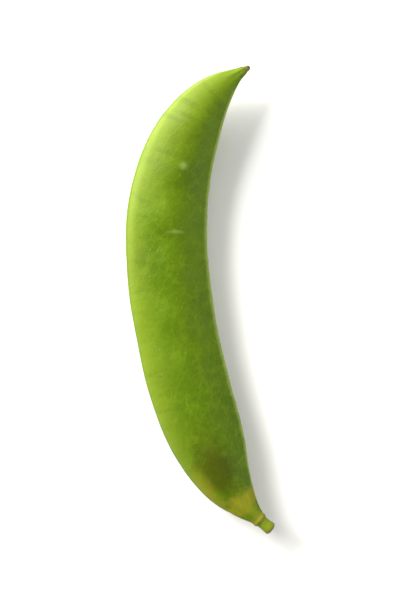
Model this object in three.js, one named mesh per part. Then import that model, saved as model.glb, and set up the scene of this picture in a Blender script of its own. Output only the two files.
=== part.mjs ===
// A snow pea pod, picked and trimmed, lying on one of its flat sides.
// Millimetres. +Z is up, +Y runs from the stalk end to the beak, and +X is the hollow side of the bend,
// where the seam that carries the peas runs. The origin is under the middle of the pod, on the surface.
//
// The pod grew as one piece, so it is one closed skin. A spine is bent in plan like a sabre, and a
// section is swept along it: a lens with a double rib on the seam and a low keel on the back. The peas
// inside raise a row of soft swellings, and the underside has one flat spot on which the pod rests.
import * as THREE from "three";

// Plan of the pod
const SPINE_LENGTH = 94.2; // along the bend, from the end of the stalk stub to the tip of the beak
const HALF_WIDTH = 7.45;
const WIDEST_AT = 0.466; // share of the spine, counted from the stalk end
const STALK_FULLNESS = 4.25; // a larger power keeps the width longer before the end closes
const BEAK_FULLNESS = 3.83;
const STALK_TAPER = 1.43; // how slenderly each end runs out
const BEAK_TAPER = 0.978;

// Bend of the spine: degrees away from +Y, towards +X
const FIRST_HEADING = -30.8;
const BEND = 45.8; // spread evenly over the length
const BEAK_HOOK = 44; // more bend from the middle to the beak
const STALK_HOOK = 21; // more bend in the first fifth
const BEAK_HOOK_FROM = 0.523;
const BEAK_HOOK_TO = 1.206;
const TIP_HOOK = 11; // the last seventh leans over towards the seam
const TIP_HOOK_FROM = 0.86;
const STALK_HOOK_TO = 0.1875;

// Thickness, and how the pod lies
const HALF_THICKNESS = 3.8;
const THICKNESS_TAPER = 0.75; // under 1, so the ends are rounder than the middle
const FLAT_SPOT_DEPTH = 0.25; // how far the resting spot is pressed in
const FLAT_SPOT_SOFTNESS = 0.2; // how gently the skin curls up from it
const STALK_LIFT = 1.5; // rise of each end above the middle
const BEAK_LIFT = 2.6;
const LIFT_POWER = 3;
const STALK_TWIST = -5; // degrees about the spine
const BEAK_TWIST = 9;

// Section: the seam is at angle 0, the back at half a turn
const SEAM_EDGE = 1.3; // 1 is a round edge, more is a thinner one
const BACK_EDGE = 1.02;
const SEAM_RIB = { height: 0.32, angle: 0.3, spread: 0.12 };
const SEAM_GROOVE = { depth: 0.14, spread: 0.09 };
const BACK_KEEL = { height: 0.2, spread: 0.13 };

// Ends
const STUB_RADIUS = 1.05;
const STUB_KNOB = 0.15; // the broken end is a little fatter than its neck
const STUB_TO = [0.025, 0.1217]; // where the stub starts and finishes melting into the pod
const STUB_RING = { at: 2.4, height: 0.14, spread: 0.35 }; // scar of the leafy cup round the stalk
const NECK_FOLDS = { at: 6.5, height: 0.1, spread: 3.3, count: 7 }; // the skin gathers towards the stub
const BEAK_RADIUS = 0.8;
const BEAK_FROM = [0.95, 0.99];
const BEAK_TIP_SHARE = 0.8; // radius left at the very tip

// Peas
const PEAS = 8;
const FIRST_PEA = 0.172;
const LAST_PEA = 0.852;
const PEA_LIFT = 0.42;
const PEA_LENGTH = 3.5; // reach of one swelling along the pod
const PEA_WIDTH = 3.7; // and across it
const PEA_OFFSET = 0.7; // the peas hang from the seam, so they sit nearer to it

// Fineness of the mesh
const SPINE_STEPS = 400;
const RINGS = 100;
const RING_CLOSENESS = 0.1; // moves rings towards the two ends
const RING_POINTS = 38;
const POINT_CLOSENESS = 0.3; // moves ring points towards the two edges
const CAP_RINGS = 3;

const degrees = Math.PI / 180;
const mix = (a, b, share) => a + (b - a) * share;
const bell = (x, spread) => Math.exp(-((x / spread) ** 2));
const smooth = THREE.MathUtils.smoothstep; // (x, from, to)

// Direction of the spine at a share u of its length, in radians from +Y towards +X.
function heading(u) {
  const evenBend = FIRST_HEADING + BEND * u;
  const beakHook = BEAK_HOOK * smooth(u, BEAK_HOOK_FROM, BEAK_HOOK_TO);
  const tipHook = TIP_HOOK * smooth(u, TIP_HOOK_FROM, 1);
  const stalkHook = STALK_HOOK * (1 - smooth(u, 0, STALK_HOOK_TO));
  return (evenBend + beakHook + tipHook - stalkHook) * degrees;
}

// The spine in plan: small straight steps, each along the heading at its middle.
const spine = [new THREE.Vector2(0, 0)];
for (let i = 0; i < SPINE_STEPS; i++) {
  const way = heading((i + 0.5) / SPINE_STEPS);
  const step = new THREE.Vector2(Math.sin(way), Math.cos(way));
  spine.push(spine[i].clone().addScaledVector(step, SPINE_LENGTH / SPINE_STEPS));
}

function spineAt(u) {
  const place = u * SPINE_STEPS;
  const before = Math.min(Math.floor(place), SPINE_STEPS - 1);
  return spine[before].clone().lerp(spine[before + 1], place - before);
}

// 1 at the widest place, 0 at both ends.
function fullness(u) {
  const isStalkHalf = u < WIDEST_AT;
  const away = isStalkHalf ? 1 - u / WIDEST_AT : (u - WIDEST_AT) / (1 - WIDEST_AT);
  const power = isStalkHalf ? STALK_FULLNESS : BEAK_FULLNESS;
  const taper = isStalkHalf ? STALK_TAPER : BEAK_TAPER;
  return Math.max(1 - away ** power, 0) ** taper;
}

function stubRadius(u) {
  const knob = STUB_KNOB * (1 - smooth(u, 0, STUB_TO[0] * 0.6));
  return (STUB_RADIUS + knob) * (1 - smooth(u, STUB_TO[0], STUB_TO[1]));
}

function beakRadius(u) {
  const taper = mix(1, BEAK_TIP_SHARE, smooth(u, BEAK_FROM[1], 1));
  return BEAK_RADIUS * taper * smooth(u, BEAK_FROM[0], BEAK_FROM[1]);
}

// The pod's own half size with the stub and the beak melted into it.
function melted(size, u) {
  return Math.cbrt(size ** 3 + stubRadius(u) ** 3 + beakRadius(u) ** 3);
}

const halfWidth = (u) => melted(HALF_WIDTH * fullness(u), u);
const halfThickness = (u) => melted(HALF_THICKNESS * fullness(u) ** THICKNESS_TAPER, u);

// Height of the spine above the surface, before the flat spot is pressed in.
function spineHeight(u) {
  const isStalkHalf = u < WIDEST_AT;
  const away = isStalkHalf ? 1 - u / WIDEST_AT : (u - WIDEST_AT) / (1 - WIDEST_AT);
  const lift = isStalkHalf ? STALK_LIFT : BEAK_LIFT;
  return HALF_THICKNESS - FLAT_SPOT_DEPTH + lift * away ** LIFT_POWER;
}

function twist(u) {
  const away = u < WIDEST_AT ? 1 - u / WIDEST_AT : (u - WIDEST_AT) / (1 - WIDEST_AT);
  return (u < WIDEST_AT ? STALK_TWIST : BEAK_TWIST) * away ** LIFT_POWER * degrees;
}

// The surface presses the underside flat where it would sink in, and the skin curls up softly round it.
function settled(height) {
  return height <= 0 ? 0 : height ** 2 / (height + FLAT_SPOT_SOFTNESS);
}

// How far the peas raise the skin at a place along and across the pod.
function peaLift(u, across) {
  let lift = 0;
  for (let pea = 0; pea < PEAS; pea++) {
    const at = mix(FIRST_PEA, LAST_PEA, pea / (PEAS - 1));
    const grown = Math.sqrt(fullness(at)); // the end peas stay small
    const along = bell((u - at) * SPINE_LENGTH, PEA_LENGTH * grown);
    lift += PEA_LIFT * grown * along * bell(across - PEA_OFFSET, PEA_WIDTH * grown);
  }
  return lift;
}

// How far the seam's two ribs, its groove and the back's keel stand out from the lens.
function ribLift(angle) {
  const fromSeam = Math.atan2(Math.sin(angle), Math.cos(angle));
  const fromBack = Math.PI - Math.abs(fromSeam);
  const rib = SEAM_RIB.height * bell(Math.abs(fromSeam) - SEAM_RIB.angle, SEAM_RIB.spread);
  const groove = SEAM_GROOVE.depth * bell(fromSeam, SEAM_GROOVE.spread);
  return rib - groove + BACK_KEEL.height * bell(fromBack, BACK_KEEL.spread);
}

// How far the scar on the stub and the folds of the neck stand out.
function stalkLift(u, angle) {
  const along = u * SPINE_LENGTH;
  const ring = STUB_RING.height * bell(along - STUB_RING.at, STUB_RING.spread);
  const folds = NECK_FOLDS.height * bell(along - NECK_FOLDS.at, NECK_FOLDS.spread);
  return ring + folds * Math.cos(NECK_FOLDS.count * angle);
}

// One point of the skin. inset runs from 0 on the skin to 1 on the spine, and past moves the section
// along the spine's own direction: the caps use both.
function skinPoint(u, angle, inset = 0, past = 0) {
  const wide = halfWidth(u);
  const thick = halfThickness(u);
  const cos = Math.cos(angle);
  const sin = Math.sin(angle);
  const body = Math.sqrt(fullness(u));
  const edge = 1 + (mix(BACK_EDGE, SEAM_EDGE, (1 + cos) / 2) - 1) * body;

  let across = wide * cos;
  let up = thick * Math.sign(sin) * Math.abs(sin) ** edge;
  const outward = new THREE.Vector2(cos * thick, sin * wide).normalize();
  const push = ribLift(angle) * body + stalkLift(u, angle);
  up += Math.sign(sin) * Math.min(1, 3 * Math.abs(sin)) * peaLift(u, across) + push * outward.y;
  across += push * outward.x;

  across *= 1 - inset;
  up *= 1 - inset;
  const turn = twist(u);
  const side = across * Math.cos(turn) - up * Math.sin(turn);
  const height = across * Math.sin(turn) + up * Math.cos(turn);
  const way = heading(u);
  const centre = spineAt(u);
  return new THREE.Vector3(
    centre.x + side * Math.cos(way) + past * Math.sin(way),
    centre.y - side * Math.sin(way) + past * Math.cos(way),
    settled(spineHeight(u) + height),
  );
}

// Rings of points from the stalk end to the beak: each end is rounded over by a few smaller rings.
function rings() {
  const stations = [];
  const stubCap = (STUB_RADIUS + STUB_KNOB) * 0.5;
  const beakCap = BEAK_RADIUS * BEAK_TIP_SHARE;
  for (let i = CAP_RINGS; i > 0; i--) {
    const lean = (i / (CAP_RINGS + 1)) * (Math.PI / 2);
    stations.push({ u: 0, inset: 1 - Math.cos(lean), past: -stubCap * Math.sin(lean) });
  }
  for (let i = 0; i <= RINGS; i++) {
    const even = i / RINGS;
    const u = even - RING_CLOSENESS * Math.sin(2 * Math.PI * even);
    stations.push({ u, inset: 0, past: 0 });
  }
  for (let i = 1; i <= CAP_RINGS; i++) {
    const lean = (i / (CAP_RINGS + 1)) * (Math.PI / 2);
    stations.push({ u: 1, inset: 1 - Math.cos(lean), past: beakCap * Math.sin(lean) });
  }
  return { stations, stubCap, beakCap };
}

function podGeometry() {
  const { stations, stubCap, beakCap } = rings();
  const points = [];
  for (const { u, inset, past } of stations) {
    for (let j = 0; j < RING_POINTS; j++) {
      const even = (2 * Math.PI * j) / RING_POINTS;
      const angle = even - POINT_CLOSENESS * Math.sin(2 * even);
      points.push(skinPoint(u, angle, inset, past));
    }
  }
  const stubPole = points.push(skinPoint(0, 0, 1, -stubCap)) - 1;
  const beakPole = points.push(skinPoint(1, 0, 1, beakCap)) - 1;

  const faces = [];
  const last = stations.length - 1;
  for (let j = 0; j < RING_POINTS; j++) {
    const next = (j + 1) % RING_POINTS;
    for (let i = 0; i < last; i++) {
      const here = i * RING_POINTS;
      const there = here + RING_POINTS;
      faces.push(here + j, there + j, here + next);
      faces.push(here + next, there + j, there + next);
    }
    faces.push(stubPole, j, next);
    faces.push(beakPole, last * RING_POINTS + next, last * RING_POINTS + j);
  }

  const geometry = new THREE.BufferGeometry().setFromPoints(points).setIndex(faces);
  geometry.computeBoundingBox();
  const middle = geometry.boundingBox.getCenter(new THREE.Vector3());
  geometry.translate(-middle.x, -middle.y, 0);
  geometry.computeVertexNormals();
  return geometry;
}

const skin = new THREE.MeshStandardMaterial({ color: 0x6f9120, roughness: 0.45, metalness: 0 });
const pod = new THREE.Mesh(podGeometry(), skin);
pod.name = "pod";

const snowPea = new THREE.Group();
snowPea.add(pod);

export default snowPea;
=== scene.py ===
# %% [markdown]
# # A fresh snow pea pod
#
# A snow pea is eaten pod and all, so it is picked while its two sides, the valves, are still flat and
# the peas are only a row of soft swellings. This file dresses one such pod: a finer skin in place of
# the plain solid, a waxy green finish with veins, and a quiet studio round it.
#
# The plain solid comes first, as a fixed frame. The finer skin repeats the formulas of its shape, with
# more points and the small unevenness that the solid leaves out. The solid's box is kept and printed
# now, and the finished pod's box is printed at the end.

import bpy
import numpy as np
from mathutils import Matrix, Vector, noise


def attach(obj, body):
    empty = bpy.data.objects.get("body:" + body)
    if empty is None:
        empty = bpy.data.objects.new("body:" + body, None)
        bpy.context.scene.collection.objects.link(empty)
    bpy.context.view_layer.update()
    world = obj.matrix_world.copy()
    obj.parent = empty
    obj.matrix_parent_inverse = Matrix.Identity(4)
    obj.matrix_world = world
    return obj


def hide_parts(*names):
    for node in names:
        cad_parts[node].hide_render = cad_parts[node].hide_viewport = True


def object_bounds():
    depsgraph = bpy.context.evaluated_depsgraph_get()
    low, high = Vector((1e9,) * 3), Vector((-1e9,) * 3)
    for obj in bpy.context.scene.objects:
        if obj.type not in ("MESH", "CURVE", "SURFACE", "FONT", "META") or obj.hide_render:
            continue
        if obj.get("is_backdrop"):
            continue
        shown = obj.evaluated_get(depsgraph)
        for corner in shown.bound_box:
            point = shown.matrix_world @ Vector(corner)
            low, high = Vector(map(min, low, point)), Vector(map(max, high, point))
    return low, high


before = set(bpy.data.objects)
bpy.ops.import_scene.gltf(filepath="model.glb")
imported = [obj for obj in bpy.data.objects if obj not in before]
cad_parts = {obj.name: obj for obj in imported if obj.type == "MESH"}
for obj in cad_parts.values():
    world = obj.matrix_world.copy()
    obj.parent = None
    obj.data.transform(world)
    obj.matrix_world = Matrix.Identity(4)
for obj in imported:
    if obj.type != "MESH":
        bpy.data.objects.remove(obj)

solid_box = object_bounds()
solid_size = solid_box[1] - solid_box[0]
print("plain solid, mm:", [round(side * 1000, 1) for side in solid_size])

# %% [markdown]
# ## The camera
#
# The pod is seen from straight above, so the camera only has to be lifted: a new camera already looks
# down. The picture is upright, 400 by 600, and the sensor's 36 mm then run along its tall side. That
# gives the height at which 112 mm of table fill the picture: about 31 cm with a long lens. A shorter
# lens would have to come closer, and would draw the raised ends of the pod too large.

# %% Camera
PICTURE_HEIGHT = 0.112  # metres of table from the bottom of the picture to the top
LENS = 100.0
SENSOR = 36.0

camera_data = bpy.data.cameras.new("overhead")
camera_data.lens = LENS
camera_data.sensor_width = SENSOR
camera_data.clip_start = 0.01
camera = bpy.data.objects.new("overhead", camera_data)
bpy.context.collection.objects.link(camera)
camera.location = (0, 0, PICTURE_HEIGHT * LENS / SENSOR)
bpy.context.scene.camera = camera
print("camera height, mm:", round(camera.location.z * 1000))

# %% [markdown]
# ## Three small curves
#
# Nothing on a pod starts or ends with a corner. A bell, which rises and falls once, and a smooth step
# from 0 to 1 shape nearly everything below: folds, ribs, swellings, and where a colour begins. They
# could be drawn by hand as curves, but as formulas they need no more than a place and a spread. All
# lengths are in millimetres until the mesh is made, because a pod is easiest to think about that way.

# %% Mix, bell and smooth step
def mix(a, b, share):
    return a + (b - a) * share


def bell(x, spread):
    return np.exp(-((x / spread) ** 2))


def smooth(x, start, end):
    share = np.clip((x - start) / (end - start), 0, 1)
    return share * share * (3 - 2 * share)


print("bell at its spread:", round(float(bell(1.0, 1.0)), 2))

# %% [markdown]
# ## The spine of the pod
#
# A pod bends in its own plane, like a sabre. Its spine could be a hand-drawn curve, but a heading
# that turns steadily, with a little more turn near each end, needs only a few numbers and never
# kinks. The heading is added up in small steps, the way a turtle drawing is made.

# %% Spine
SPINE_LENGTH = 94.2
SPINE_STEPS = 400
FIRST_HEADING = -30.8  # this and the next four are degrees away from +Y, towards +X
BEND = 45.8  # spread evenly over the length
BEAK_HOOK = 44  # more bend from the middle to the beak
TIP_HOOK = 11  # the last seventh leans over towards the seam
STALK_HOOK = 21  # more bend in the first fifth
BEAK_HOOKS = (0.523, 1.206)  # shares of the spine between which each hook comes in
TIP_HOOKS = (0.86, 1)
STALK_HOOKS = (0, 0.1875)


def heading(u):
    """Direction of the spine at a share u of its length, from +Y towards +X, in radians."""
    even_bend = FIRST_HEADING + BEND * u
    beak_hook = BEAK_HOOK * smooth(u, *BEAK_HOOKS) + TIP_HOOK * smooth(u, *TIP_HOOKS)
    stalk_hook = STALK_HOOK * (1 - smooth(u, *STALK_HOOKS))
    return np.radians(even_bend + beak_hook - stalk_hook)


way = heading((np.arange(SPINE_STEPS) + 0.5) / SPINE_STEPS)
steps = np.stack([np.sin(way), np.cos(way)], axis=1) * SPINE_LENGTH / SPINE_STEPS
spine = np.vstack([[0, 0], np.cumsum(steps, axis=0)])


def spine_at(u):
    place = u * SPINE_STEPS
    knots = np.arange(SPINE_STEPS + 1)
    return np.interp(place, knots, spine[:, 0]), np.interp(place, knots, spine[:, 1])


print("end to end, mm:", round(float(np.linalg.norm(spine[-1])), 1))

# %% [markdown]
# ## How wide and how thick
#
# The pod keeps its width for most of its length and then closes quickly at both ends. The stub of the
# stalk and the beak are thin round rods. Adding the cubes of the sizes and taking the cube root melts
# a rod into the pod without a step, because the larger of the two always wins.

# %% Width and thickness along the spine
HALF_WIDTH = 7.45
HALF_THICKNESS = 3.8
THICKNESS_TAPER = 0.75  # under 1, so the ends are rounder than the middle
WIDEST_AT = 0.466  # share of the spine, counted from the stalk end
STALK_FULLNESS = 4.25  # a larger power keeps the width longer before the end closes
BEAK_FULLNESS = 3.83
STALK_TAPER = 1.43  # how slenderly each end runs out
BEAK_TAPER = 0.978
STUB_RADIUS = 1.05
STUB_KNOB = 0.15  # the broken end is a little fatter than its neck
KNOB_TO = 0.015
STUB_MELTS = (0.025, 0.1217)  # where the stub melts into the pod, in shares of the spine
BEAK_RADIUS = 0.8
BEAK_GROWS = (0.95, 0.99)
BEAK_TIP_SHARE = 0.8  # radius left at the very tip


def away_from_widest(u):
    """0 at the widest place, 1 at either end."""
    return np.where(u < WIDEST_AT, 1 - u / WIDEST_AT, (u - WIDEST_AT) / (1 - WIDEST_AT))


def fullness(u):
    power = np.where(u < WIDEST_AT, STALK_FULLNESS, BEAK_FULLNESS)
    taper = np.where(u < WIDEST_AT, STALK_TAPER, BEAK_TAPER)
    return np.maximum(1 - away_from_widest(u) ** power, 0) ** taper


def melted(size, u):
    knob = STUB_KNOB * (1 - smooth(u, 0, KNOB_TO))
    stub = (STUB_RADIUS + knob) * (1 - smooth(u, *STUB_MELTS))
    taper = mix(1, BEAK_TIP_SHARE, smooth(u, BEAK_GROWS[1], 1))
    beak = BEAK_RADIUS * taper * smooth(u, *BEAK_GROWS)
    return np.cbrt(size**3 + stub**3 + beak**3)


def half_width(u):
    return melted(HALF_WIDTH * fullness(u), u)


def half_thickness(u):
    return melted(HALF_THICKNESS * fullness(u) ** THICKNESS_TAPER, u)


print("widest, mm:", round(2 * float(half_width(np.array(WIDEST_AT))), 1))

# %% [markdown]
# ## How it lies
#
# A real pod is never quite flat. It touches the table along its middle, both ends rise a little, and
# each end is turned a few degrees about the spine. Where the underside would sink into the table it is
# pressed flat, and the skin curls up softly from that spot instead of leaving it with a hard edge.

# %% Lie
FLAT_SPOT_DEPTH = 0.25  # how far the resting spot is pressed in
FLAT_SPOT_SOFTNESS = 0.2  # how gently the skin curls up from it
STALK_LIFT = 1.5  # rise of each end above the middle
BEAK_LIFT = 2.6
STALK_TWIST = -5  # degrees about the spine
BEAK_TWIST = 9
LIFT_POWER = 3  # keeps the rise and the twist to the ends


def spine_height(u):
    lift = np.where(u < WIDEST_AT, STALK_LIFT, BEAK_LIFT)
    return HALF_THICKNESS - FLAT_SPOT_DEPTH + lift * away_from_widest(u) ** LIFT_POWER


def twist(u):
    most = np.where(u < WIDEST_AT, STALK_TWIST, BEAK_TWIST)
    return np.radians(most * away_from_widest(u) ** LIFT_POWER)


def settled(height):
    above = np.maximum(height, 0)
    return above**2 / (above + FLAT_SPOT_SOFTNESS)


print("height of the spine at the beak, mm:", round(float(spine_height(np.array(1.0))), 2))

# %% [markdown]
# ## Peas
#
# The peas hang in a row from the seam, so their swellings sit a little nearer to it, and the ones at
# the ends stay small. A pod picked this young shows them only as low waves. Each is a bell along the
# pod times a bell across it.

# %% Swellings over the peas
PEAS = 8
FIRST_PEA = 0.172  # shares of the spine
LAST_PEA = 0.852
PEA_LIFT = 0.42
PEA_LENGTH = 3.5
PEA_WIDTH = 3.7
PEA_OFFSET = 0.7  # from the spine towards the seam


def pea_lift(u, across):
    lift = np.zeros_like(across)
    for at in np.linspace(FIRST_PEA, LAST_PEA, PEAS):
        grown = float(np.sqrt(fullness(np.array(at))))
        along = bell((u - at) * SPINE_LENGTH, PEA_LENGTH * grown)
        lift += PEA_LIFT * grown * along * bell(across - PEA_OFFSET, PEA_WIDTH * grown)
    return lift


pea_spacing = (LAST_PEA - FIRST_PEA) * SPINE_LENGTH / (PEAS - 1)
print("peas:", PEAS, "mm from one to the next:", round(pea_spacing, 1))

# %% [markdown]
# ## Seam, keel and neck
#
# The seam is a double rib with a fine groove between, and the back has one low keel. A ring on the
# stub shows where the leafy cup sat, and the skin gathers in folds towards it. Ribs and keel belong to
# an angle round the section, where 0 is the seam; ring and folds belong to a place along the pod.

# %% Ribs, ring and folds
RIB_HEIGHT = 0.32
RIB_ANGLE = 0.3  # of each rib from the seam, in radians
RIB_SPREAD = 0.12
GROOVE_DEPTH = 0.14
GROOVE_SPREAD = 0.09
KEEL_HEIGHT = 0.2
KEEL_SPREAD = 0.13
RING_AT = 2.4  # mm from the stalk end, as are all places along the pod below
RING_HEIGHT = 0.14
RING_SPREAD = 0.35
FOLDS_AT = 6.5
FOLD_HEIGHT = 0.1
FOLD_SPREAD = 3.3
FOLDS = 7  # round the neck, and again round the beak


def rib_lift(angle):
    from_seam = np.arctan2(np.sin(angle), np.cos(angle))
    from_back = np.pi - np.abs(from_seam)
    rib = RIB_HEIGHT * bell(np.abs(from_seam) - RIB_ANGLE, RIB_SPREAD)
    groove = GROOVE_DEPTH * bell(from_seam, GROOVE_SPREAD)
    return rib - groove + KEEL_HEIGHT * bell(from_back, KEEL_SPREAD)


def stalk_lift(u, angle):
    along = u * SPINE_LENGTH
    ring = RING_HEIGHT * bell(along - RING_AT, RING_SPREAD)
    folds = FOLD_HEIGHT * bell(along - FOLDS_AT, FOLD_SPREAD)
    return ring + folds * np.cos(FOLDS * angle)


print("rib above the seam, mm:", round(float(rib_lift(RIB_ANGLE)), 2))

# %% [markdown]
# ## Small unevenness
#
# This is what the plain solid leaves out. The valves swell and sink by a tenth of a millimetre, fine
# wrinkles lie between the folds of the neck, the stalk's broken end is fibrous, the skin gathers once
# more at the beak, and the very tip is torn where the style of the flower broke off. All this is moved
# in the mesh, not faked in the material, so it also shows in the outline. Noise from Blender's own
# library is the same every run.

# %% Unevenness
SWELL = 0.16  # heights, in mm
DIMPLE = 0.045
WRINKLE = 0.035
RING_EDGE = 0.06
FIBRE = 0.05
BEAK_FOLD = 0.06
TEAR = 0.16
WRINKLES = 19  # round the neck
WRINKLES_AT = 5.8  # places along the pod
RING_EDGE_AT = 1.8
BEAK_FOLDS_AT = 92.0
TEAR_FROM, TEAR_TO = 93.2, 94.2


def noise_field(along, across, up, size):
    """Smooth noise between about -1 and 1, over patches of the given size in mm."""
    places = np.stack([along, across, up], axis=-1).reshape(-1, 3) / size
    values = [noise.noise(Vector(place)) for place in places]
    return np.array(values).reshape(along.shape)


def unevenness(u, angle, across, up):
    along = u * SPINE_LENGTH
    body = np.sqrt(fullness(u))
    swell = SWELL * noise_field(along, across, up * 0.4, 9) * body
    dimple = DIMPLE * noise_field(along + 40, across, up, 2.6) * body
    wavering = 2 * np.sin(along * 0.9)
    wrinkles = WRINKLE * bell(along - WRINKLES_AT, 3.0) * np.cos(WRINKLES * angle + wavering)
    ring_edge = -RING_EDGE * bell(along - RING_EDGE_AT, 0.25)
    fibres = FIBRE * noise_field(along * 0.3, across, up, 0.35) * (1 - smooth(along, 1.0, 2.6))
    beak_folds = BEAK_FOLD * bell(along - BEAK_FOLDS_AT, 2) * np.cos(FOLDS * angle)
    torn = smooth(along, TEAR_FROM, TEAR_TO)
    torn_tip = -TEAR * (0.5 + noise_field(along, across, up, 0.6)) * torn
    return swell + dimple + wrinkles + ring_edge + fibres + beak_folds + torn_tip


print("heights of the unevenness, mm:", SWELL, DIMPLE, WRINKLE, RING_EDGE, FIBRE, BEAK_FOLD, TEAR)

# %% [markdown]
# ## One point of the skin
#
# The section is a lens: round at the back, thinner towards the seam. A point is found on it, pushed
# out by the ribs and swellings, turned by the twist, and carried to its place on the spine. The caps
# at both ends use the same function with the section shrunk and moved on along the spine. Beside its
# place in space, each point gets its straight place: where it would be on a pod pulled straight.
# Patterns that follow the bend of the pod are made from that.

# %% Skin
SEAM_EDGE = 1.3  # 1 is a round edge, more is a thinner one
BACK_EDGE = 1.02


def skin(u, angle, inset, past):
    """Places of points of the skin, and their straight places: along, across and up."""
    wide, thick = half_width(u), half_thickness(u)
    cos, sin = np.cos(angle), np.sin(angle)
    body = np.sqrt(fullness(u))
    edge = 1 + (mix(BACK_EDGE, SEAM_EDGE, (1 + cos) / 2) - 1) * body
    across = wide * cos
    up = thick * np.sign(sin) * np.abs(sin) ** edge
    left = 1 - inset
    straight = np.stack([u * SPINE_LENGTH + past, across * left, up * left], axis=-1)

    out_across, out_up = cos * thick, sin * wide
    length = np.hypot(out_across, out_up)
    push = rib_lift(angle) * body + stalk_lift(u, angle) + unevenness(u, angle, across, up)
    off_the_edges = np.sign(sin) * np.minimum(1, 3 * np.abs(sin))
    swelling = off_the_edges * pea_lift(u, across)
    across = (across + push * out_across / length) * left
    up = (up + swelling + push * out_up / length) * left

    turn, way = twist(u), heading(u)
    side = across * np.cos(turn) - up * np.sin(turn)
    height = across * np.sin(turn) + up * np.cos(turn)
    x, y = spine_at(u)
    x = x + side * np.cos(way) + past * np.sin(way)
    y = y - side * np.sin(way) + past * np.cos(way)
    return np.stack([x, y, settled(spine_height(u) + height)], axis=-1), straight


# %% [markdown]
# ## The rings
#
# The skin is a grid: rings along the spine, points round each ring. Rings are closer together at the
# ends, where the stub and the beak are small, and ring points are closer together at the two thin
# edges. Quads follow the grain of the pod and take smooth shading well. Each end is rounded over by a
# few shrinking rings and closed by one point.

# %% Grid of rings
RINGS = 500
RING_CLOSENESS = 0.08  # moves rings towards the two ends
RING_POINTS = 168
POINT_CLOSENESS = 0.3  # moves ring points towards the two edges
CAP_RINGS = 8
STUB_CAP = (STUB_RADIUS + STUB_KNOB) * 0.5  # how far each rounded end stands out
BEAK_CAP = BEAK_RADIUS * BEAK_TIP_SHARE

lean = np.arange(1, CAP_RINGS + 1) / (CAP_RINGS + 1) * np.pi / 2
cap = 1 - np.cos(lean)
still = np.zeros(RINGS + 1)
even = np.linspace(0, 1, RINGS + 1)
crowded = even - RING_CLOSENESS * np.sin(2 * np.pi * even)
ring_u = np.concatenate([np.zeros(CAP_RINGS), crowded, np.ones(CAP_RINGS)])
ring_inset = np.concatenate([cap[::-1], still, cap])
ring_past = np.concatenate([-STUB_CAP * np.sin(lean[::-1]), still, BEAK_CAP * np.sin(lean)])

around = 2 * np.pi * (np.arange(RING_POINTS) / RING_POINTS)
around = around - POINT_CLOSENESS * np.sin(2 * around)

columns = (ring_u[:, None], around[None, :], ring_inset[:, None], ring_past[:, None])
points, straight_points = skin(*np.broadcast_arrays(*columns))
pole_past = np.array([-STUB_CAP, BEAK_CAP])
poles, straight_poles = skin(np.array([0.0, 1.0]), np.zeros(2), np.ones(2), pole_past)
rows = len(ring_u)
print("rings:", rows, "points round each:", RING_POINTS)

# %% [markdown]
# ## The mesh
#
# The faces are written out from the grid's row and column numbers. The same numbers make the texture
# map: one rectangle, cut along the seam, as if the pod had been slit open and laid out.

# %% Mesh
MAP_LEFT = 0.02  # the laid-out skin keeps clear of the map's edges
MAP_WIDTH = 0.96
MAP_LOW, MAP_HIGH = 0.01, 0.99
POLE_LOW, POLE_HIGH = 0.002, 0.998

vertices = np.vstack([points.reshape(-1, 3), poles])
middle_xy = (vertices[:, :2].min(axis=0) + vertices[:, :2].max(axis=0)) / 2
vertices[:, :2] -= middle_xy

faces, corners = [], []
row_share = np.linspace(MAP_LOW, MAP_HIGH, rows)
stub_pole, beak_pole = rows * RING_POINTS, rows * RING_POINTS + 1
top = (rows - 1) * RING_POINTS
for j in range(RING_POINTS):
    k = (j + 1) % RING_POINTS
    left = MAP_LEFT + MAP_WIDTH * j / RING_POINTS
    right = MAP_LEFT + MAP_WIDTH * (j + 1) / RING_POINTS
    for i in range(rows - 1):
        here, there = i * RING_POINTS, (i + 1) * RING_POINTS
        faces.append((here + j, there + j, there + k, here + k))
        low, high = row_share[i], row_share[i + 1]
        corners += [(left, low), (left, high), (right, high), (right, low)]
    faces.append((stub_pole, j, k))
    corners += [((left + right) / 2, POLE_LOW), (left, MAP_LOW), (right, MAP_LOW)]
    faces.append((beak_pole, top + k, top + j))
    corners += [((left + right) / 2, POLE_HIGH), (right, MAP_HIGH), (left, MAP_HIGH)]

mesh = bpy.data.meshes.new("pea_pod")
mesh.from_pydata((vertices * 0.001).tolist(), [], faces)
mesh.polygons.foreach_set("use_smooth", np.ones(len(faces), dtype=bool))
unwrap = mesh.uv_layers.new(name="OFBake")
unwrap.data.foreach_set("uv", np.array(corners, dtype=np.float32).ravel())
pod = bpy.data.objects.new("pea_pod", mesh)
bpy.context.collection.objects.link(pod)
print("faces:", len(faces), "triangles:", sum(len(face) - 2 for face in faces))

# %% [markdown]
# ## Masks for the finish
#
# The finish has to know where it is on the pod. Painting that by hand would be lost as soon as the
# shape changed, so the straight places and a few masks, each from 0 to 1, are worked out here and
# stored on the points, where the shader reads them by name. Distances round the section are angles
# from the seam, and places along the pod are millimetres from the stalk end.

# %% Straight places and masks
straight_places = np.vstack([straight_points.reshape(-1, 3), straight_poles])
along = straight_places[:, 0]
from_seam = np.abs(np.arctan2(np.sin(around), np.cos(around)))
from_seam = np.concatenate([np.tile(from_seam, rows), [0, 0]])
from_back = np.pi - from_seam


def store(name, values, kind="FLOAT"):
    attribute = mesh.attributes.new(name, kind, "POINT")
    field = "vector" if kind == "FLOAT_VECTOR" else "value"
    attribute.data.foreach_set(field, np.asarray(values, dtype=np.float32).ravel())


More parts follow.
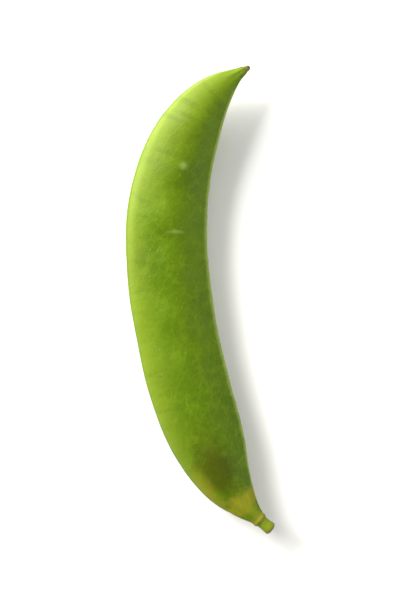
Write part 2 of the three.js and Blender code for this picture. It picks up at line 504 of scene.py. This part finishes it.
on_body = smooth(along, 3.2, 9) * (1 - smooth(along, 89.2, 93.2))
store("straight", straight_places, "FLOAT_VECTOR")
store("seam", (1 - smooth(from_seam, 0.28, 0.52)) * on_body)
# The groove mask carries the painted shade in the seam's groove.
store("groove", bell(from_seam, 0.07) * on_body)
store("back", bell(from_back - 0.4, 0.3) * on_body)
store("keel", bell(from_back, 0.26) * on_body)
store("stub", 1 - smooth(along, 1.8, 6.0))
store("broken_end", 1 - smooth(along, -0.25, 0.35))
store("scar", bell(along - 2.8, 0.55))
store("beak_tip", smooth(along, 92.3, 94.5))
store("style_scar", smooth(along, 94.2, 94.75))
print("masks:", [a.name for a in mesh.attributes if not a.is_internal])

# %% [markdown]
# ## Helpers for the finish
#
# A finish is a tree of shader nodes, and made node by node it is hard to read. These helpers turn the
# usual moves into one line each. The first four add a node, set or wire a socket, lay a colour over
# another by a mask, and turn a range of a value into a mask.

# %% Helpers: nodes, colours and masks
def add(tree, kind, **settings):
    node = tree.nodes.new(kind)
    for name, value in settings.items():
        setattr(node, name, value)
    return node


def feed(tree, socket, value):
    """Wires value into the socket if it is another node's output, or else sets it."""
    if isinstance(value, bpy.types.NodeSocket):
        tree.links.new(value, socket)
    else:
        socket.default_value = value


def lay_over(tree, under, over, share):
    blend = add(tree, "ShaderNodeMix", data_type="RGBA")
    feed(tree, blend.inputs[0], share)
    feed(tree, blend.inputs[6], under)
    feed(tree, blend.inputs[7], over)
    return blend.outputs[2]


def mask_from(tree, value, nothing, all_of_it, most=1.0):
    """0 where value is nothing, and most where it is all_of_it, with a smooth way between."""
    node = add(tree, "ShaderNodeMapRange", interpolation_type="SMOOTHSTEP")
    feed(tree, node.inputs["Value"], value)
    feed(tree, node.inputs["From Min"], nothing)
    feed(tree, node.inputs["From Max"], all_of_it)
    feed(tree, node.inputs["To Min"], 0.0)
    feed(tree, node.inputs["To Max"], most)
    return node.outputs["Result"]


# %% [markdown]
# The next four do sums with numbers and with vectors, measure a vector, and make noise of a size
# given in millimetres.

# %% Helpers: sums and noise
def reckon(tree, operation, a, b):
    node = add(tree, "ShaderNodeMath", operation=operation)
    feed(tree, node.inputs[0], a)
    feed(tree, node.inputs[1], b)
    return node.outputs[0]


def reckon_vector(tree, operation, a, b):
    node = add(tree, "ShaderNodeVectorMath", operation=operation)
    feed(tree, node.inputs[0], a)
    feed(tree, node.inputs[1], b)
    return node.outputs["Vector"]


def length_of(tree, vector):
    node = add(tree, "ShaderNodeVectorMath", operation="LENGTH")
    feed(tree, node.inputs[0], vector)
    return node.outputs["Value"]


def noise_texture(tree, place, size, detail=2.0, roughness=0.5):
    """Noise in patches about size mm wide, where place is in mm."""
    node = add(tree, "ShaderNodeTexNoise")
    feed(tree, node.inputs["Vector"], place)
    node.inputs["Scale"].default_value = 1 / size
    node.inputs["Detail"].default_value = detail
    node.inputs["Roughness"].default_value = roughness
    return node


# %% [markdown]
# An effect that is used more than once becomes a node group of its own, with named inputs. One helper
# makes such a group and one places it with its values.

# %% Helpers: node groups
def new_group(name, inputs, output):
    """A shader node group: inputs are (name, kind, value) and its one output is a value."""
    tree = bpy.data.node_groups.new(name, "ShaderNodeTree")
    for label, kind, value in inputs:
        socket = tree.interface.new_socket(label, in_out="INPUT", socket_type=kind)
        socket.default_value = value
    tree.interface.new_socket(output, in_out="OUTPUT", socket_type="NodeSocketFloat")
    return tree, add(tree, "NodeGroupInput").outputs, add(tree, "NodeGroupOutput").inputs[0]


def place_group(tree, group, **values):
    node = add(tree, "ShaderNodeGroup", node_tree=group)
    for name, value in values.items():
        feed(tree, node.inputs[name], value)
    return node.outputs[0]


# %% [markdown]
# ## Veins
#
# Fine veins leave the seam at a slant and join into a net of long cells. The edges between the cells
# of a Voronoi texture make such a net by themselves. The coordinates are wobbled first, so that no
# vein is quite straight, then turned so that the cells lean, and stretched so that they are long. The
# group is used twice, for the main veins and for a finer net between them.

# %% Group: vein net
VEIN_WOBBLE_SIZE = 2.5
VEIN_INPUTS = (
    ("Place", "NodeSocketVector", (0, 0, 0)),
    ("Lean", "NodeSocketFloat", 0.9),
    ("Cell", "NodeSocketVector", (1, 1, 1)),
    ("Wobble", "NodeSocketFloat", 0.5),
    ("Thickness", "NodeSocketFloat", 0.1),
)
vein_net, given, veins_out = new_group("Vein net", VEIN_INPUTS, "Veins")
drift = noise_texture(vein_net, given["Place"], VEIN_WOBBLE_SIZE).outputs["Color"]
drift = reckon_vector(vein_net, "SUBTRACT", drift, (0.5, 0.5, 0.5))
amount = add(vein_net, "ShaderNodeVectorMath", operation="SCALE")
feed(vein_net, amount.inputs[0], drift)
feed(vein_net, amount.inputs["Scale"], given["Wobble"])
wobbled = reckon_vector(vein_net, "ADD", given["Place"], amount.outputs["Vector"])
leaning = add(vein_net, "ShaderNodeVectorRotate", rotation_type="Z_AXIS")
feed(vein_net, leaning.inputs["Vector"], wobbled)
feed(vein_net, leaning.inputs["Angle"], given["Lean"])
stretched = reckon_vector(vein_net, "DIVIDE", leaning.outputs[0], given["Cell"])
cells = add(vein_net, "ShaderNodeTexVoronoi", feature="DISTANCE_TO_EDGE")
cells.inputs["Scale"].default_value = 1
feed(vein_net, cells.inputs["Vector"], stretched)
feed(vein_net, veins_out, mask_from(vein_net, cells.outputs["Distance"], given["Thickness"], 0.0))
print("vein net nodes:", len(vein_net.nodes))

# %% [markdown]
# ## Patches
#
# The skin isn't one green. It has an olive bruise and tan rubs near the stalk, and small healed scars.
# All of them are round or oval patches with a ragged edge, so one group makes them: the distance from
# a centre, counted in patch sizes, with a little noise added to it.

# %% Group: patch
RAG_SIZE = 1.6
PATCH_INPUTS = (
    ("Place", "NodeSocketVector", (0, 0, 0)),
    ("Centre", "NodeSocketVector", (0, 0, 0)),
    ("Size", "NodeSocketVector", (1, 1, 1)),
    ("Raggedness", "NodeSocketFloat", 0.3),
    ("Core", "NodeSocketFloat", 0.4),
)
patch, given, patch_out = new_group("Patch", PATCH_INPUTS, "Patch")
offset = reckon_vector(patch, "SUBTRACT", given["Place"], given["Centre"])
sizes_away = length_of(patch, reckon_vector(patch, "DIVIDE", offset, given["Size"]))
rag = noise_texture(patch, given["Place"], RAG_SIZE, detail=4.0, roughness=0.65).outputs["Fac"]
rag = reckon(patch, "MULTIPLY", reckon(patch, "SUBTRACT", rag, 0.5), given["Raggedness"])
ragged = reckon(patch, "ADD", sizes_away, rag)
feed(patch, patch_out, mask_from(patch, ragged, 1.0, given["Core"]))
print("patch nodes:", len(patch.nodes))

# %% [markdown]
# ## The green skin
#
# Fresh pod skin is a clear yellow-green, darker where it is thick and paler along the back and the
# ribs of the seam. It could be one texture painted by hand, but layers are easier to tune one by one:
# slow mottling; deeper green towards the stalk, partly the skin's own and partly painted shade;
# painted shade towards the seam, on the side away from the light; paler green towards the back, partly
# the skin's own and partly painted light; a painted highlight on the shoulder near the beak; fine
# mottling, bands, veins, edges, specks, patches, and last the two ends.
#
# The colours are linear, as shader sockets take them, so they look lighter than their numbers.

# %% Palette and material
DEEP_GREEN = (0.050, 0.102, 0.001, 1)
LEAF_GREEN = (0.090, 0.162, 0.002, 1)
# Used for the paler back and shoulder: partly the skin's own colour, partly painted light.
PALE_AND_LIT_GREEN = (0.250, 0.320, 0.026, 1)
RIDGE_GREEN = (0.325, 0.395, 0.110, 1)
VEIN_GREEN = (0.150, 0.225, 0.006, 1)
SPECK_GREEN = (0.360, 0.460, 0.120, 1)
OLIVE = (0.050, 0.062, 0.001, 1)
TAN = (0.240, 0.225, 0.012, 1)
STUB_GREEN = (0.140, 0.185, 0.008, 1)
SCAR_OCHRE = (0.230, 0.165, 0.020, 1)
DRY_STRAW = (0.380, 0.320, 0.130, 1)
DRY_OLIVE = (0.150, 0.125, 0.035, 1)
DRY_BROWN = (0.060, 0.036, 0.014, 1)

finish = bpy.data.materials.new("pea_skin")
finish.use_nodes = True
tree = finish.node_tree
shader = tree.nodes["Principled BSDF"]


def stored(name):
    node = add(tree, "ShaderNodeAttribute", attribute_name=name)
    return node.outputs["Vector" if name == "straight" else "Fac"]


print("material:", finish.name)

# %% [markdown]
# The straight place tells how far along the pod a point is, and how far across: about 7 mm is the
# seam, -7 mm the back. Each layer below starts at the first of its numbers and is at its most at the
# second, and the third says how much of it there is then.

# %% Skin: mottling and the slow change from end to end
place = stored("straight")
slow = noise_texture(tree, place, 11, detail=2).outputs["Fac"]
fine = noise_texture(tree, place, 2.2, detail=6, roughness=0.68).outputs["Fac"]
parts = add(tree, "ShaderNodeSeparateXYZ")
feed(tree, parts.inputs[0], place)
mm_along, mm_across = parts.outputs["X"], parts.outputs["Y"]

colour = lay_over(tree, DEEP_GREEN, LEAF_GREEN, mask_from(tree, slow, 0.10, 0.60))
# Deeper green towards the stalk end: partly the skin's own colour, partly painted shade where the
# light falls off towards that end.
stalk_end_deeper_and_shaded = mask_from(tree, mm_along, 54.0, 12.0, 0.60)
colour = lay_over(tree, colour, DEEP_GREEN, stalk_end_deeper_and_shaded)
# Painted shade: the half towards the seam, on the side away from the light, is darkened.
seam_side_painted_shade = mask_from(tree, mm_across, -4.0, 1.0, 0.22)
colour = lay_over(tree, colour, DEEP_GREEN, seam_side_painted_shade)
# Paler towards the back: partly the skin's own paler edge, partly painted light on the side that faces
# the lamp.
back_paler_and_lit = mask_from(tree, mm_across, -2.0, -7.6, 0.38)
colour = lay_over(tree, colour, PALE_AND_LIT_GREEN, back_paler_and_lit)
# Painted highlight on the back's shoulder near the beak, laid over skin that is slightly paler there
# of itself.
lit_shoulder = mask_from(tree, mm_along, 58.0, 90.0, 0.55)
lit_shoulder = reckon(tree, "MULTIPLY", lit_shoulder, mask_from(tree, mm_across, 4.0, -4.0))
colour = lay_over(tree, colour, PALE_AND_LIT_GREEN, lit_shoulder)
colour = lay_over(tree, colour, VEIN_GREEN, mask_from(tree, fine, 0.44, 0.72, 0.42))
print("skin nodes so far:", len(tree.nodes))

# %% [markdown]
# Short, faint bands run across the pod, where the valve is a little thicker between two peas. They are
# the same noise, squeezed along the pod and drawn out across it. The two vein nets lie over them, the
# main one with cells 5.5 mm long.

# %% Skin: bands and veins
squeezed = reckon_vector(tree, "DIVIDE", place, (1.0, 4.5, 4.5))
bands = noise_texture(tree, squeezed, 1.5, detail=3).outputs["Fac"]
colour = lay_over(tree, colour, DEEP_GREEN, mask_from(tree, bands, 0.50, 0.72, 0.35))
main_veins = place_group(
    tree, vein_net, Place=place, Lean=0.95, Cell=(1.5, 5.5, 3.0), Wobble=1.6, Thickness=0.075)
small_veins = place_group(
    tree, vein_net, Place=place, Lean=-0.7, Cell=(0.75, 1.6, 1.2), Wobble=0.9, Thickness=0.10)
colour = lay_over(tree, colour, VEIN_GREEN, reckon(tree, "MULTIPLY", main_veins, 0.20))
colour = lay_over(tree, colour, VEIN_GREEN, reckon(tree, "MULTIPLY", small_veins, 0.13))
print("skin nodes so far:", len(tree.nodes))

# %% [markdown]
# The two edges are paler, because the skin there is thick and pithy. On the back the pale band also
# grows towards the beak, and there it is a painted highlight along the lit rim. A sharp band would
# look painted, so the fine noise is added to each mask before it is used and breaks up its edge. The
# keel is a darker line inside the pale back band, and the groove of the seam is a line of painted
# shade inside the pale seam band.

# %% Skin: edges
patchy = reckon(tree, "MULTIPLY", reckon(tree, "SUBTRACT", fine, 0.5), 0.6)


def ragged_mask(name, nothing, all_of_it, most=1.0):
    """A stored mask with its edge broken up by the fine noise."""
    return mask_from(tree, reckon(tree, "ADD", stored(name), patchy), nothing, all_of_it, most)


# The pale back band is the skin's own pithy edge and, growing towards the beak, a painted highlight
# along the lit rim.
back_highlight_share = mask_from(tree, mm_along, 40.0, 78.0, 0.28)
back = reckon(tree, "MULTIPLY", ragged_mask("back", 0.15, 1.0), back_highlight_share)
colour = lay_over(tree, colour, RIDGE_GREEN, back)
colour = lay_over(tree, colour, LEAF_GREEN, reckon(tree, "MULTIPLY", stored("keel"), 0.60))
colour = lay_over(tree, colour, RIDGE_GREEN, ragged_mask("seam", 0.15, 1.0, 0.50))
# Painted shade: the groove between the seam's two ribs is darkened.
colour = lay_over(tree, colour, DEEP_GREEN, reckon(tree, "MULTIPLY", stored("groove"), 0.60))
print("skin nodes so far:", len(tree.nodes))

# %% [markdown]
# Tiny pale dots are scattered over the valves. A Voronoi texture gives each cell one point and one
# random colour, and the colour picks the few cells whose point shows.

# %% Skin: specks
dots = add(tree, "ShaderNodeTexVoronoi", feature="F1")
dots.inputs["Scale"].default_value = 1.3  # cells to a millimetre
feed(tree, dots.inputs["Vector"], place)
picked = add(tree, "ShaderNodeSeparateColor")
feed(tree, picked.inputs[0], dots.outputs["Color"])
chosen = mask_from(tree, picked.outputs["Red"], 0.72, 0.80)
specks = reckon(tree, "MULTIPLY", mask_from(tree, dots.outputs["Distance"], 0.15, 0.06), chosen)
colour = lay_over(tree, colour, SPECK_GREEN, reckon(tree, "MULTIPLY", specks, 0.45))
print("skin nodes so far:", len(tree.nodes))

# %% [markdown]
# The patches of this pod: an olive bruise, a tan band at the stalk end with a tan strip up the back
# from it, and two small healed scars nearer the beak, one round and one drawn out across the pod. The
# bruise and the scars are on the upper valve only.

# %% Skin: patches
PATCHES = (
    # centre: along, across, up; size; raggedness; core; colour; most
    ((15.0, -0.6, 3.0), (8.5, 4.8, 4.0), 1.3, 0.2, OLIVE, 0.84),
    ((6.6, 0.0, 1.5), (3.1, 6.0, 6.0), 1.1, 0.3, TAN, 0.72),
    ((10.0, -4.5, 1.0), (9.0, 3.0, 4.0), 0.8, 0.2, TAN, 0.55),
    ((71.9, 1.5, 3.0), (1.2, 1.15, 2.0), 0.45, 0.0, SPECK_GREEN, 0.42),
    ((59.3, 1.6, 3.0), (0.55, 2.3, 2.0), 0.9, 0.1, SPECK_GREEN, 0.28),
)
for centre, size, raggedness, core, patch_colour, most in PATCHES:
    mask = place_group(
        tree, patch, Place=place, Centre=centre, Size=size, Raggedness=raggedness, Core=core)
    colour = lay_over(tree, colour, patch_colour, reckon(tree, "MULTIPLY", mask, most))
print("patches:", len(PATCHES))

# %% [markdown]
# The stub is a brighter, smoother yellow-green, and the scar round it is ochre. Its broken end has
# dried: straw-coloured pith in the middle, and round it a darker woody ring, ragged with the ends of
# fibres. The beak fades to olive, with a dark speck where the flower's style broke off.

# %% Skin: ends
colour = lay_over(tree, colour, STUB_GREEN, ragged_mask("stub", 0.15, 0.9, 0.9))
colour = lay_over(tree, colour, SCAR_OCHRE, ragged_mask("scar", 0.25, 1.0, 0.60))
from_core = length_of(tree, reckon_vector(tree, "MULTIPLY", place, (0.0, 1.0, 1.0)))
fibre_ends = noise_texture(tree, place, 0.22, detail=4, roughness=0.6).outputs["Fac"]
woody = reckon(tree, "ADD", from_core, reckon(tree, "SUBTRACT", fibre_ends, 0.5))
pith = lay_over(tree, DRY_STRAW, DRY_OLIVE, mask_from(tree, woody, 0.25, 0.85, 0.9))
colour = lay_over(tree, colour, pith, mask_from(tree, stored("broken_end"), 0.2, 0.8, 0.9))
colour = lay_over(tree, colour, DRY_OLIVE, ragged_mask("beak_tip", 0.15, 1.0, 0.85))
colour = lay_over(tree, colour, DRY_BROWN, mask_from(tree, stored("style_scar"), 0.2, 0.9, 0.90))
feed(tree, shader.inputs["Base Color"], colour)
print("skin nodes so far:", len(tree.nodes))

# %% [markdown]
# ## Wax, gloss and relief
#
# A thin bloom of wax makes the skin satin and breaks its shine into soft patches, so the roughness
# changes slowly over the pod and rises where the skin is dry.

# %% Skin: gloss
WAX_ROUGHNESS = 0.40
bloom = mask_from(tree, slow, 0.3, 0.7, 0.10)
grain = mask_from(tree, fine, 0.3, 0.7, 0.08)
rough = reckon(tree, "ADD", reckon(tree, "ADD", bloom, grain), WAX_ROUGHNESS)
dry = reckon(tree, "MAXIMUM", stored("broken_end"), stored("beak_tip"))
rough = reckon(tree, "ADD", rough, reckon(tree, "MULTIPLY", dry, 0.3))
feed(tree, shader.inputs["Roughness"], rough)
print("skin nodes so far:", len(tree.nodes))

# %% [markdown]
# Veins stand out by about two hundredths of a millimetre, and between them the skin is finely
# pebbled. That is too fine for the mesh, so it is a bump: the heights are added up as shares, and the
# bump's own distance says what a height of 1 is in metres.

# %% Skin: relief
RELIEF_DISTANCE = 0.00009
pebble = noise_texture(tree, place, 0.35, detail=3).outputs["Fac"]
relief = reckon(tree, "MULTIPLY", main_veins, 0.20)
for height, share in ((small_veins, 0.10), (pebble, 0.30), (fine, 0.60)):
    relief = reckon(tree, "ADD", relief, reckon(tree, "MULTIPLY", height, share))
bump = add(tree, "ShaderNodeBump")
bump.inputs["Strength"].default_value = 0.8
bump.inputs["Distance"].default_value = RELIEF_DISTANCE
feed(tree, bump.inputs["Height"], relief)
feed(tree, shader.inputs["Normal"], bump.outputs["Normal"])
print("relief, mm:", round(RELIEF_DISTANCE * 1000, 3))

# %% [markdown]
# Light goes a little way into the pod, green the furthest, and that is what subsurface scattering
# gives. Without it the skin would look hard, as if painted. Values that are the same all over the
# skin are set on the shader itself.

# %% Skin: light inside
shader.inputs["IOR"].default_value = 1.45
shader.inputs["Specular IOR Level"].default_value = 0.11
shader.inputs["Subsurface Weight"].default_value = 0.15
shader.inputs["Subsurface Scale"].default_value = 0.0012
shader.inputs["Subsurface Radius"].default_value = (0.6, 1.0, 0.15)
mesh.materials.append(finish)
print("skin nodes:", len(tree.nodes))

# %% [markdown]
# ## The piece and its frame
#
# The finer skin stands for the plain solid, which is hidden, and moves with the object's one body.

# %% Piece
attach(pod, "root")
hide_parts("pod")
print("piece:", pod.name)

# %% [markdown]
# ## Table
#
# The pod lies on a plain pale table. One large square is enough: its edges are far away in every
# view, and its tone varies very slightly, as paper's does.

# %% Table
TABLE_REACH = 1.5
PAPER_LIGHT = (0.86, 0.86, 0.85, 1)
PAPER_DARK = (0.83, 0.83, 0.825, 1)

table_sides = ((-1, -1), (1, -1), (1, 1), (-1, 1))
table_corners = [(x * TABLE_REACH, y * TABLE_REACH, 0) for x, y in table_sides]
table = bpy.data.meshes.new("table")
table.from_pydata(table_corners, [], [(0, 1, 2, 3)])
floor = bpy.data.objects.new("table", table)
bpy.context.collection.objects.link(floor)
paper = bpy.data.materials.new("pale_paper")
paper.use_nodes = True
paper_tree = paper.node_tree
paper_shader = paper_tree.nodes["Principled BSDF"]
paper_shader.inputs["Roughness"].default_value = 0.8
paper_place = add(paper_tree, "ShaderNodeTexCoord").outputs["Object"]
paper_grain = noise_texture(paper_tree, paper_place, 0.02, detail=4).outputs["Fac"]
paper_colour = lay_over(paper_tree, PAPER_LIGHT, PAPER_DARK, paper_grain)
feed(paper_tree, paper_shader.inputs["Base Color"], paper_colour)
table.materials.append(paper)
floor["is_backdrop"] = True
print("table, m:", 2 * TABLE_REACH)

# %% [markdown]
# ## Light
#
# One large soft light stands at the upper left, which models the round back and leaves the seam side
# darker. A weaker one opposite and a pale sky keep the shade clear. Large lights close by give soft
# edges to the shadow.

# %% Light
LIGHTS = (
    # name, place, size, watts, colour
    ("window_left", (-0.56, 0.44, 0.34), 0.50, 18.5, (1.0, 0.985, 0.95)),
    ("soft_right", (0.62, -0.20, 0.36), 0.60, 4.0, (1.0, 0.985, 0.94)),
)
SKY_COLOUR = (0.98, 0.98, 0.97, 1)
SKY_STRENGTH = 0.38

for name, spot, size, watts, colour_of_light in LIGHTS:
    lamp = bpy.data.lights.new(name, "AREA")
    lamp.size = size
    lamp.energy = watts
    lamp.color = colour_of_light
    holder = bpy.data.objects.new(name, lamp)
    holder.location = spot
    holder.rotation_euler = (-Vector(spot)).to_track_quat("-Z", "Y").to_euler()
    bpy.context.collection.objects.link(holder)

sky = bpy.data.worlds.new("pale_sky")
sky.use_nodes = True
background = sky.node_tree.nodes["Background"]
background.inputs["Color"].default_value = SKY_COLOUR
background.inputs["Strength"].default_value = SKY_STRENGTH
bpy.context.scene.world = sky
bpy.context.scene.view_settings.view_transform = "Standard"
print("lights:", len(LIGHTS))

# %% [markdown]
# ## The finished size
#
# The finished pod should keep the plain solid's size; its box is printed here, as the solid's was at
# the start.

# %% Sizes and finish
dressed_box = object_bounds()
dressed_size = dressed_box[1] - dressed_box[0]
print("dressed pod, mm:", [round(side * 1000, 2) for side in dressed_size])
